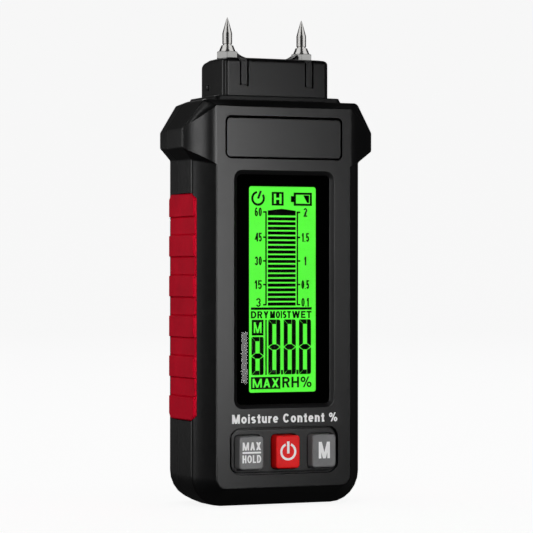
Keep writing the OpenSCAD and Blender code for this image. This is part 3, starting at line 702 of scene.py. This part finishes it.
lcd_marks = put_mesh("lcd_segments", *marks, *on_glass(words, ink_back, ink_back - ink_front))
dress(lcd_marks, moulded("liquid crystal segment", (0.002, 0.003, 0.002), 0.4, specular=0.05, tone=0.1,
                         bump=0.001))
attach(lcd_marks, "casing")
lit_letters = put_mesh("lcd_clear_letters", *on_glass(lit_words, ink_front, 0.02))
dress(lit_letters, lcd_light)
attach(lit_letters, "casing")


def clear_lens():
    """Clear acrylic: full transmission, and a faint cleaning haze in its roughness."""
    material = bpy.data.materials.new("clear acrylic")
    material.use_nodes = True
    tree = material.node_tree
    shader = tree.nodes["Principled BSDF"]
    place = tree.nodes.new("ShaderNodeTexCoord").outputs["Object"]
    haze = node(tree, "ShaderNodeTexNoise", Vector=place, Scale=140.0, Detail=3.0, Distortion=0.8)
    film = node(tree, "ShaderNodeMapRange", Value=haze.outputs["Fac"], i1=0.45, i2=0.8, i3=0.0, i4=0.004)
    tree.links.new(film.outputs[0], shader.inputs["Roughness"])
    shader.inputs["Base Color"].default_value = (1, 1, 1, 1)
    shader.inputs["Transmission Weight"].default_value = 1.0
    shader.inputs["IOR"].default_value = 1.3
    shader.inputs["Specular IOR Level"].default_value = 0.12
    return material


lens_rows = [(-0.12, lens_front), (0.0, 1.12), (0.0, 1.68), (-0.12, 1.8)]
lens = skin("window_lens", [at_depth(rectangle(-19.0, 19.0, 31.4, 113.2, 1.0, g), d) for g, d in lens_rows])
smooth(dress(lens, clear_lens()))
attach(lens, "casing")
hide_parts("display_window")

# ------------------------------------------------------------- keypad surround
# A black inlay plate that fills the keypad recess, with a bevelled edge and an
# opening for each key.
surround_rows = [(-0.1, 1.9), (-0.1, 0.75), (-0.16, 0.62), (-0.45, 0.52), (-0.6, 0.5)]
surround = skin("keypad_plate", [at_depth(rectangle(-19.2, 19.2, 11.1, 25.7, 3.1, g), d)
                                 for g, d in surround_rows])
opening_rows = ((0.25, 0.0), (0.25, 0.48), (0.07, 0.6), (0.0, 0.8), (0.0, 3.0))
join_shapes(surround, "DIFFERENCE", *[skin("key_opening", [at_depth(at_key(x, g), d) for g, d in opening_rows])
                                      for x in key_places.values()])
smooth(dress(surround, moulded("black inlay plate", (0.006, 0.006, 0.0062), 0.42, specular=0.38)))
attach(surround, "casing")
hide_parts("keypad_surround")

# ------------------------------------------------------------------------ keys
# Three moulded key caps, grey, red and grey: drafted sides, rounded top edge, a
# flange that holds each in the casing and a stem for its switch. The legends are
# printed in white on the flat top.
key_grey = moulded("grey key", (0.17, 0.17, 0.172), 0.5, specular=0.3)
key_red = moulded("red key", (0.75, 0.006, 0.007), 0.45, specular=0.2)
white_ink = moulded("white ink", (0.86, 0.86, 0.86), 0.55, specular=0.3, tone=0.03, bump=0.002)
key_mid, key_top, key_round = 18.1, -3.0, 0.65
key_rows = [(6.3, 3, 3, 1.45), (4.8, 3, 3, 1.45), (4.8, 10.5, 13, 1.0), (3.8, 10.5, 13, 1.0),
            (3.8, 9.0, 11.3, 1.35), (key_top + key_round, 8.72, 11.02, 1.25)]
for a in np.linspace(0, math.pi / 2, 7)[1:]:
    drawn = 1 - math.cos(a)
    key_rows.append((key_top + key_round * (1 - math.sin(a)), 8.72 - 2 * key_round * drawn,
                     11.02 - 2 * key_round * drawn, 1.25 - 0.35 * drawn))


def key_cap(name, x, material):
    """Key cap: rounded rectangles of falling size carried forwards along one axis, from stem to flat
    top."""
    cap = skin(name + "_cap", [at_depth(rectangle(x - w / 2, x + w / 2, key_mid - h / 2, key_mid + h / 2, r), d)
                               for d, w, h, r in key_rows])
    smooth(dress(cap, material))
    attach(cap, name + "_key")
    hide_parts(name + "_button")


def legend(name, body, shapes):
    """Printed marks that ride on one body."""
    piece = dress(put_mesh(name, *shapes), white_ink)
    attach(piece, body)


key_finishes = {"max_hold": (key_grey, "grey_key"), "power": (key_red, "red_key"),
                "mode": (key_grey, "grey_key")}
for key, (material, slot) in key_finishes.items():
    key_cap(key, key_places[key], material)
ink = 0.035
x = key_places["max_hold"]
legend("max_hold_legend", "max_hold_key", [
    *lettering("MAX", x - 3.3, x + 3.3, 19.0, 21.65, key_top, ink, 0.52),
    prism(bar(x - 3.3, x + 3.3, 17.92, 18.5), key_top - ink, key_top),
    *lettering("HOLD", x - 3.35, x + 3.35, 14.8, 17.4, key_top, ink, 0.52)])
power_sign = [arc_band(0.0, 18.2, 2.15, 2.92, 112, 270), arc_band(0.0, 18.2, 2.15, 2.92, 270, 428),
              bar(-0.45, 0.45, 17.6, 21.6)]
legend("power_legend", "power_key", [prism(line, key_top - ink, key_top) for line in power_sign])
x = key_places["mode"]
legend("mode_legend", "mode_key", lettering("M", x - 2.05, x + 2.05, 15.6, 21.15, key_top, ink, 0.95))
legend("panel_print", "casing", lettering("Moisture Content %", -19.0, 19.4, 27.7, 30.7, 0.0, 0.03, 0.7))

# ------------------------------------------------------------------ side grips
# Soft red rubber inlays moulded into both sides, in pads that stand high and low
# in turn, with a fine groove between them and cut corners at both ends.
grip_z, grip_top, grip_root = 28.5, 104.0, 29.08
pad_edges = np.array([36.45, 42.55, 49.95, 56.0, 63.4, 69.45, 76.85, 82.9, 90.3, 96.2])
raised, lowered, groove_drop = 30.85, 30.3, 0.32


def side_grip(name, side):
    """Side grip as rows of its plan section up the body. The outer face stands at one of two distances
    from the centre, changing at each pad edge through a narrow groove, and both ends narrow evenly to
    make the cut corners."""
    offsets = np.array([-0.95, -0.34, -0.22, -0.08, 0.08, 0.22, 0.34, 0.95])
    z = np.concatenate([[grip_z, grip_z + 0.12, grip_z + 0.45, grip_z + 1.9], (pad_edges[:, None] + offsets).ravel(),
                        [grip_top - 1.9, grip_top - 0.45, grip_top - 0.12, grip_top]])
    level = np.where(np.searchsorted(pad_edges, z) % 2 == 0, raised, lowered)
    nearest = np.abs(z[:, None] - pad_edges).min(1)
    groove = np.clip(1 - (nearest - 0.08) / 0.2, 0, 1) * np.where(level > (raised + lowered) / 2, 1.9, 1.0)
    level = level - groove_drop * groove
    end = np.minimum(z - grip_z, grip_top - z)
    level = level - 0.28 * np.clip(1 - end / 0.45, 0, 1) ** 2 * 2
    cut = 1.5 * np.clip(1 - end / 1.9, 0, 1)
    front, back = grip_front[side] + cut, grip_back - cut
    on_border = 29.7 - (raised - level) * 0.75 + cut * 0.75
    front_x = np.minimum(on_border, level - 0.65) if side < 0 else level - 0.3
    turn_depth = front + 0.3
    section = np.stack([
        np.stack([np.full_like(z, grip_root), front], 1), np.stack([front_x, front], 1),
        np.stack([level - 0.4, turn_depth], 1), np.stack([level, np.full_like(z, crease_depth)], 1),
        np.stack([level - 0.12, back - 0.4], 1), np.stack([level - 0.45, back], 1),
        np.stack([np.full_like(z, grip_root), back], 1)], 1)
    line = rounded_outline(section, [0.02, 0.1, 0.12, 0.25, 0.2, 0.1, 0.02])
    rows = np.stack([side * line[..., 0], line[..., 1], np.broadcast_to(z[:, None], line.shape[:-1])], -1)
    return skin(name, rows)


rubber = moulded("red rubber", (0.62, 0.001, 0.02), 0.5, specular=0.05, tone=0.1, change=0.15, grain=1500.0,
                 bump=0.02)
for name, side in (("left_grip", -1), ("right_grip", 1)):
    grip = smooth(dress(side_grip(name + "_pads", side), rubber), 28.0)
    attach(grip, "casing")
    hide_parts(name)

# -------------------------------------------------------- electrodes and nuts
# Two sharp pins turned from steel and nickel-plated, screwed into brass inserts
# and locked by a hexagonal nut each.
pin_depth = 16.8
pin_profile = [(0.02, 140.0), (1.9, 140.0), (1.9, 152.2), (2.7, 152.22), (2.76, 152.3), (2.7, 152.6),
               (2.45, 153.2), (2.2, 153.75), (2.1, 154.1), (2.02, 154.28), (1.5, 154.32), (1.45, 154.42),
               (1.45, 154.7), (1.6, 154.82), (1.65, 154.9), (1.65, 158.3), (1.62, 158.55), (1.5, 158.95),
               (1.05, 160.6), (0.6, 162.2), (0.26, 163.3), (0.1, 163.7), (0.01, 163.8)]


def turned_metal():
    """Fine turning marks: noise read along the height only, for the height of the bump and a small
    change of gloss."""
    tree, given, out = new_group("turning marks",
                                 [("Pitch", "NodeSocketFloat", 6000.0), ("Roughness", "NodeSocketFloat", 0.2)],
                                 [("Roughness", "NodeSocketFloat"), ("Height", "NodeSocketFloat")])
    place = tree.nodes.new("ShaderNodeTexCoord").outputs["Object"]
    flat_place = node(tree, "ShaderNodeVectorMath", {"operation": "MULTIPLY"}, i0=place, i1=(0.03, 0.03, 1.0))
    marks_noise = node(tree, "ShaderNodeTexNoise", Vector=flat_place.outputs[0], Scale=given.outputs["Pitch"],
                       Detail=2.0)
    sway = node(tree, "ShaderNodeMath", {"operation": "SUBTRACT"}, i0=marks_noise.outputs["Fac"], i1=0.5)
    gloss = node(tree, "ShaderNodeMath", {"operation": "MULTIPLY_ADD"}, i0=sway.outputs[0], i1=0.15,
                 i2=given.outputs["Roughness"])
    tree.links.new(gloss.outputs[0], out.inputs["Roughness"])
    tree.links.new(marks_noise.outputs["Fac"], out.inputs["Height"])
    return tree


turned_group = turned_metal()


def metal(name, colour, roughness, pitch=6000.0, bump=0.002):
    """Bare or plated metal with turning or drawing marks."""
    material = bpy.data.materials.new(name)
    material.use_nodes = True
    tree = material.node_tree
    shader = tree.nodes["Principled BSDF"]
    part = node(tree, "ShaderNodeGroup", {"node_tree": turned_group}, Pitch=pitch, Roughness=roughness)
    relief = node(tree, "ShaderNodeBump", Height=part.outputs["Height"], Strength=1.0, Distance=bump * MM)
    tree.links.new(part.outputs["Roughness"], shader.inputs["Roughness"])
    tree.links.new(relief.outputs["Normal"], shader.inputs["Normal"])
    shader.inputs["Base Color"].default_value = tuple(colour) + (1.0,)
    shader.inputs["Metallic"].default_value = 1.0
    return material


nickel = metal("nickel plate", (0.8, 0.79, 0.77), 0.2)
# The nuts take a darker copy of the pins' nickel: painted shade that tones down the light their facets catch.
shaded_nut_nickel = metal("nickel plate, nuts, darkened as painted shade", (0.5, 0.5, 0.49), 0.26, 2500.0, 0.004)


def turned(name, x, depth, profile, sides=48):
    """Shape turned about an upright axis from (radius, height) pairs."""
    a = np.linspace(0, 2 * math.pi, sides + 1)[:-1]
    r, z = np.array(profile, float).T
    return skin(name, np.stack([x + r[:, None] * np.cos(a), depth + r[:, None] * np.sin(a),
                                np.broadcast_to(z[:, None], (len(z), sides))], -1))


def hex_nut(name, x, depth, across, z0, z1):
    """Hexagonal nut: at each angle the radius is that of the hexagon, or of a cone that chamfers both
    faces if less; the skin goes up the outside and down the bore."""
    a = np.linspace(0, 2 * math.pi, 73)[:-1]
    hexagon = across / 2 / np.cos((a - math.radians(6)) % (math.pi / 3) - math.pi / 6)
    heights = np.array([z0, z0 + 0.12, z0 + 0.3, z1 - 0.45, z1 - 0.25, z1 - 0.1, z1])
    limit = across / 2 * np.array([1.0, 1.08, 1.2, 1.2, 1.1, 1.03, 0.96])
    outer = np.minimum(hexagon, limit[:, None])
    bore = np.full((2, 72), 1.93)
    radius = np.concatenate([outer, bore, outer[:1]])
    height = np.concatenate([heights, [z1, z0, z0]])
    rows = np.stack([x + radius * np.cos(a), depth + radius * np.sin(a),
                     np.broadcast_to(height[:, None], radius.shape)], -1)
    faces = ring_faces(rows.shape[0], 72)[:-2]
    return put_mesh(name, (rows, faces))


for name, x in (("left", -13.7), ("right", 13.7)):
    electrode = smooth(dress(turned(name + "_pin", x, pin_depth, pin_profile), nickel), 40.0)
    nut = smooth(dress(hex_nut(name + "_lock_nut", x, pin_depth, 6.8, 149.7, 152.2), shaded_nut_nickel), 25.0)
    for piece, hidden in ((electrode, name + "_electrode"), (nut, name + "_nut")):
        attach(piece, "casing")
        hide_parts(hidden)

# ---------------------------------------------------------------- battery door
# A black ABS door in the back. It swings down on two moulded pins along its lower
# edge; the top edge has ribs for the thumb.
hinge_depth, hinge_z = 29.1, 28.2
door_rows = ((0.0, 28.0), (0.0, 29.8), (-0.06, 30.0), (-0.2, 30.14), (-0.4, 30.2))
thumb_rows = ((-0.12, 29.75), (0.0, 29.9), (0.12, 30.25), (0.12, 31.0))
door_skin = skin("door_panel", [at_depth(rectangle(-18.7, 18.7, hinge_z, 85.0, 1.8, g), d) for g, d in door_rows])


def cross_bar(name, half, depth, z, radius):
    """Bar along X: a circle carried across."""
    a = np.linspace(0, 2 * math.pi, 33)[:-1]
    return skin(name, [np.stack([np.full(32, x), depth + radius * np.cos(a), z + radius * np.sin(a)], -1)
                       for x in (-half, half)])


join_shapes(door_skin, "UNION", cross_bar("door_barrel", 18.7, hinge_depth, hinge_z, 1.1),
            cross_bar("door_pins", 19.7, hinge_depth, hinge_z, 0.6))
grooves = [(7.0 - 0.9 * k, 81.0 - 1.5 * k, 81.6 - 1.5 * k) for k in range(4)]
join_shapes(door_skin, "DIFFERENCE", *[
    skin("thumb_groove", [at_depth(rectangle(-half, half, z0, z1, 0.28, g), d) for g, d in thumb_rows])
    for half, z0, z1 in grooves])
smooth(dress(door_skin, black_plastic))
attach(door_skin, "door")
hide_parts("battery_door")

# ----------------------------------------------------------------------- cells
# Three AAA cells behind the door, the middle one turned over: a steel can in a
# printed sleeve, with a bare button at the positive end.
def sleeve_material():
    """Printed sleeve: a coloured band round the upper third of the bay and a dark band below, with a
    fine print grain."""
    material = moulded("cell sleeve", (0.03, 0.035, 0.045), 0.3, specular=0.5, tone=0.15, bump=0.003)
    tree = material.node_tree
    shader = tree.nodes["Principled BSDF"]
    place = tree.nodes.new("ShaderNodeTexCoord").outputs["Object"]
    height = node(tree, "ShaderNodeSeparateXYZ", Vector=place).outputs["Z"]
    band = node(tree, "ShaderNodeMapRange", {"clamp": True}, Value=height, i1=0.066, i2=0.0662, i3=0.0, i4=1.0)
    grain_colour = shader.inputs["Base Color"].links[0].from_socket
    mix = node(tree, "ShaderNodeMix", {"data_type": "RGBA"}, i0=band.outputs[0])
    tree.links.new(grain_colour, mix.inputs[6])
    mix.inputs[7].default_value = (0.55, 0.3, 0.04, 1)
    tree.links.new(mix.outputs[2], shader.inputs["Base Color"])
    return material


sleeve = sleeve_material()
can_metal = metal("cell can", (0.72, 0.72, 0.7), 0.28)
for i, turned_over in ((1, False), (2, True), (3, False)):
    lo, hi = (np.array(c) / MM - (0.0, panel_y, 0.0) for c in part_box(f"battery_{i}"))
    x, depth = (lo[0] + hi[0]) / 2, (lo[1] + hi[1]) / 2
    length = hi[2] - lo[2]
    profile = np.array([(0.02, 0.0), (4.5, 0.0), (4.9, 0.1), (5.1, 0.35), (5.25, 0.5), (5.25, length - 1.75),
                        (5.1, length - 1.6), (4.9, length - 1.5), (4.75, length - 1.2), (2.6, length - 1.2),
                        (2.0, length - 1.05), (1.9, length - 0.9), (1.9, length - 0.12), (1.75, length),
                        (0.02, length)])
    height = hi[2] - profile[:, 1] if turned_over else lo[2] + profile[:, 1]
    cell = turned(f"cell_{i}", x, depth, np.stack([profile[:, 0], height], 1))
    cell.data.materials.clear()
    cell.data.materials.append(can_metal)
    cell.data.materials.append(sleeve)
    face_middle = np.zeros(len(cell.data.polygons) * 3)
    cell.data.polygons.foreach_get("center", face_middle)
    face_middle = face_middle.reshape(-1, 3) / MM - (0.0, panel_y, 0.0)
    off_axis = np.hypot(face_middle[:, 0] - x, face_middle[:, 1] - depth)
    cell.data.polygons.foreach_set("material_index", (off_axis > 4.95).astype(np.int32))
    smooth(cell)
    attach(cell, "casing")
    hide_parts(f"battery_{i}")

# ------------------------------------------------- contacts, screws, inner parts
# Everything inside the housing keeps its CAD shape: sprung steel contacts, screws,
# the circuit board with its parts, the display's frame and light guide, and wires.
def board_material():
    """Solder mask over copper: tracks are the lighter joints of a brick pattern, and noise shifts the
    gloss."""
    material = bpy.data.materials.new("green circuit board")
    material.use_nodes = True
    tree = material.node_tree
    shader = tree.nodes["Principled BSDF"]
    place = tree.nodes.new("ShaderNodeTexCoord").outputs["Object"]
    upright = node(tree, "ShaderNodeMapping", Vector=place, Rotation=(math.pi / 2, 0, 0))
    lines = node(tree, "ShaderNodeTexBrick", {"offset": 0.37}, Vector=upright.outputs[0],
                 Color1=(0.008, 0.085, 0.03, 1), Color2=(0.01, 0.1, 0.035, 1), Mortar=(0.03, 0.2, 0.07, 1),
                 Scale=1.0, Mortar_Size=0.0002, Brick_Width=0.0065, Row_Height=0.0021)
    wear = node(tree, "ShaderNodeTexNoise", Vector=place, Scale=900.0, Detail=2.0)
    relief = node(tree, "ShaderNodeBump", Height=lines.outputs["Fac"], Strength=1.0, Distance=0.00002)
    gloss = node(tree, "ShaderNodeMapRange", Value=wear.outputs["Fac"], i1=0.3, i2=0.7, i3=0.25, i4=0.4)
    tree.links.new(lines.outputs["Color"], shader.inputs["Base Color"])
    tree.links.new(gloss.outputs[0], shader.inputs["Roughness"])
    tree.links.new(relief.outputs["Normal"], shader.inputs["Normal"])
    return material


spring_steel = metal("contact steel", (0.75, 0.74, 0.72), 0.25, 3000.0)
brass = metal("brass", (0.78, 0.55, 0.22), 0.28, 3000.0)
blacked_steel = metal("blacked steel", (0.12, 0.12, 0.125), 0.35, 3000.0)
white_nylon = moulded("white nylon", (0.75, 0.75, 0.72), 0.5)
switch_plastic = moulded("switch plastic", (0.02, 0.02, 0.02), 0.4)
inner_finishes = {
    "lcd_frame": white_nylon, "backlight_led": moulded("diode lens", (0.8, 0.8, 0.6), 0.3),
    "backlight": lit_glass("light guide", (0.35, 0.8, 0.35), 0.25),
    "elastomer_strip": moulded("conductive rubber", (0.55, 0.42, 0.36), 0.6), "main_board": board_material(),
    "controller_chip": moulded("chip resin", (0.018, 0.018, 0.018), 0.55, grain=3500.0),
    "buzzer": switch_plastic, "left_insert": brass, "right_insert": brass,
    "electrode_leads": moulded("white wire", (0.72, 0.72, 0.7), 0.45),
    "battery_leads": moulded("red wire", (0.45, 0.02, 0.02), 0.45), "positive_contacts": spring_steel,
    "negative_springs": spring_steel, "board_screws": spring_steel, "case_screws": blacked_steel}
for key in key_places:
    inner_finishes[key + "_plunger"] = switch_plastic
    inner_finishes[key + "_switch"] = switch_plastic
for name, material in inner_finishes.items():
    dress(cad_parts[name], material)

# ------------------------------------------------------------ studio and camera
# A pale floor that curves up into a wall all round, lit on its own; area lights
# for the meter and two large ones for the plated pins, each kept to its pieces; a
# faint even sky; and a level camera turned 24 degrees to the left of the front.
floor_turn = np.linspace(0, math.pi / 2, 16)
floor_reach, cove = 2.6, 1.4
floor_profile = np.concatenate([
    [(0.001, 0.0), (0.4, 0.0), (1.2, 0.0), (floor_reach, 0.0)],
    np.stack([floor_reach + cove * np.sin(floor_turn), cove * (1 - np.cos(floor_turn))], 1)[1:],
    [(floor_reach + cove, 4.0)]])
a = np.linspace(0, 2 * math.pi, 97)[:-1]
floor_rows = np.stack([floor_profile[:, :1] * np.cos(a), floor_profile[:, :1] * np.sin(a) - panel_y * MM,
                       np.broadcast_to(floor_profile[:, 1:], (len(floor_profile), 96))], -1) / MM
studio = put_mesh("studio_floor", (floor_rows, ring_faces(len(floor_profile), 96)[:-1]))
studio.data.polygons.foreach_set("use_smooth", np.ones(len(studio.data.polygons), bool))
dress(studio, moulded("pale floor", (0.8, 0.8, 0.805), 0.8, specular=0.05, tone=0.01, grain=300.0, bump=0.01,
                      Emission_Color=(1, 1, 1, 1), Emission_Strength=0.9))
studio.visible_diffuse = studio.visible_glossy = studio.visible_transmission = False

world = bpy.data.worlds.new("studio sky")
world.use_nodes = True
world.node_tree.nodes["Background"].inputs["Color"].default_value = (1, 1, 1, 1)
world.node_tree.nodes["Background"].inputs["Strength"].default_value = 0.02
bpy.context.scene.world = world


def soft_box(name, place, target, size, watts):
    """Rectangular light that faces its target; the camera doesn't see it."""
    light = bpy.data.lights.new(name, "AREA")
    light.shape, light.size, light.size_y, light.energy = "RECTANGLE", size[0], size[1], watts
    holder = bpy.data.objects.new(name, light)
    bpy.context.scene.collection.objects.link(holder)
    aim = np.array(target, float) - np.array(place, float)
    holder.location = place
    holder.rotation_euler = Vector(aim).to_track_quat("-Z", "Y").to_euler()
    holder.visible_camera = False
    return holder


middle = (0.0, 0.0, 0.08)
low_middle = (0.0, 0.0, 0.05)
meter_lights = [
    soft_box("panel_light", (0.045, -0.32, 0.1), (0.02, 0.0, 0.085), (0.06, 0.2), 0.64),
    soft_box("edge_light", (-0.42, -0.33, 0.1), middle, (0.06, 0.4), 1.0),
    soft_box("left_light", (-0.52, 0.35, 0.2), middle, (0.25, 0.5), 1.45),
    soft_box("rear_light", (-0.16, 0.62, 0.04), low_middle, (0.12, 0.2), 0.012),
    soft_box("back_right_light", (0.24, 0.7, 0.04), low_middle, (0.12, 0.2), 6.0),
    soft_box("strip_light", (0.3138, -0.782, 0.023), (-0.017, panel_y * MM, 0.053), (0.0042, 0.034), 0.0045),
    soft_box("top_light", (0.0, 0.45, 0.7), (0.0, 0.0, 0.12), (0.3, 0.3), 1.2)]
floor_light = soft_box("floor_light", (0.0, 0.0, 2.4), middle, (3.0, 3.0), 6.0)
pin_lights = [soft_box("pin_light_left", (-0.6, -0.06, 0.45), (-0.014, 0.0, 0.3), (0.9, 1.2), 2.6),
              soft_box("pin_light_right", (0.43, -0.42, 0.45), (0.014, 0.0, 0.3), (0.8, 1.2), 2.3)]


def light_only(name, lights, pieces):
    """Lets these lights reach these pieces and nothing else."""
    reached = bpy.data.collections.new(name)
    for piece in pieces:
        reached.objects.link(piece)
    for light in lights:
        light.light_linking.receiver_collection = reached


pieces = [piece for piece in bpy.context.scene.objects if piece.type == "MESH" and piece != studio]
plated = [piece for piece in pieces if piece.name.endswith(("_pin", "_lock_nut"))]
light_only("meter only", meter_lights, [piece for piece in pieces if piece not in plated])
light_only("plated pieces only", pin_lights, plated)
light_only("floor only", [floor_light], [studio])

camera_turn = math.radians(24.0)
camera_distance, camera_height = 0.841, 0.0759
camera = bpy.data.objects.new("camera", bpy.data.cameras.new("camera"))
bpy.context.scene.collection.objects.link(camera)
camera.location = (-camera_distance * math.sin(camera_turn),
                   panel_y * MM - camera_distance * math.cos(camera_turn), camera_height)
camera.rotation_euler = (math.pi / 2, 0.0, -camera_turn)
camera.data.sensor_width = 36.0
camera.data.lens = 170.4
camera.data.shift_x, camera.data.shift_y = -0.034, 0.0216
bpy.context.scene.camera = camera
bpy.context.scene.view_settings.view_transform = "Standard"
